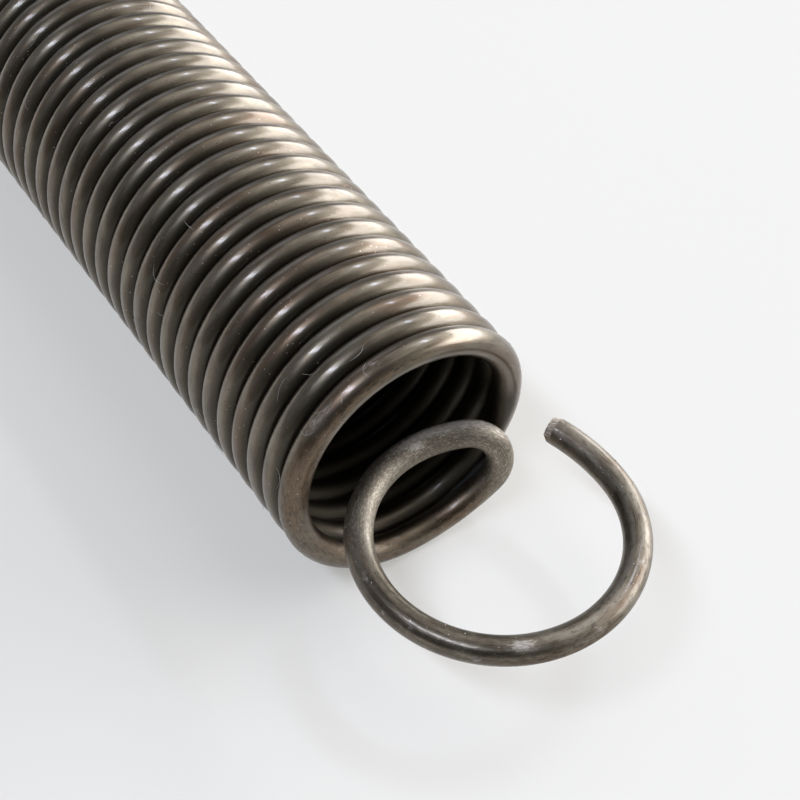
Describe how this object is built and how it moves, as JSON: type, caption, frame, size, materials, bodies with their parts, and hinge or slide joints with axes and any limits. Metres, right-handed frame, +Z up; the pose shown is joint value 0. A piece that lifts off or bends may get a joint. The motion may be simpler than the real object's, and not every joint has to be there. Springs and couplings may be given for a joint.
{
  "type": "extension spring",
  "caption": "Close-wound extension spring of round steel wire, with a full loop bent out of each end.",
  "frame": {"origin": "middle of the coil, on its axis", "axes": "+X along the coil's axis, out of the end that faces the camera in the picture; +Z up, square to the plane of the two loops"},
  "size_m": [0.1164, 0.025, 0.0199],
  "materials": {
    "spring_wire": "drawn spring wire, dark brownish grey, satin, fine draw lines along the wire"
  },
  "bodies": {
    "root": {"spring_wire": "spring_wire"}
  },
  "joints": []
}
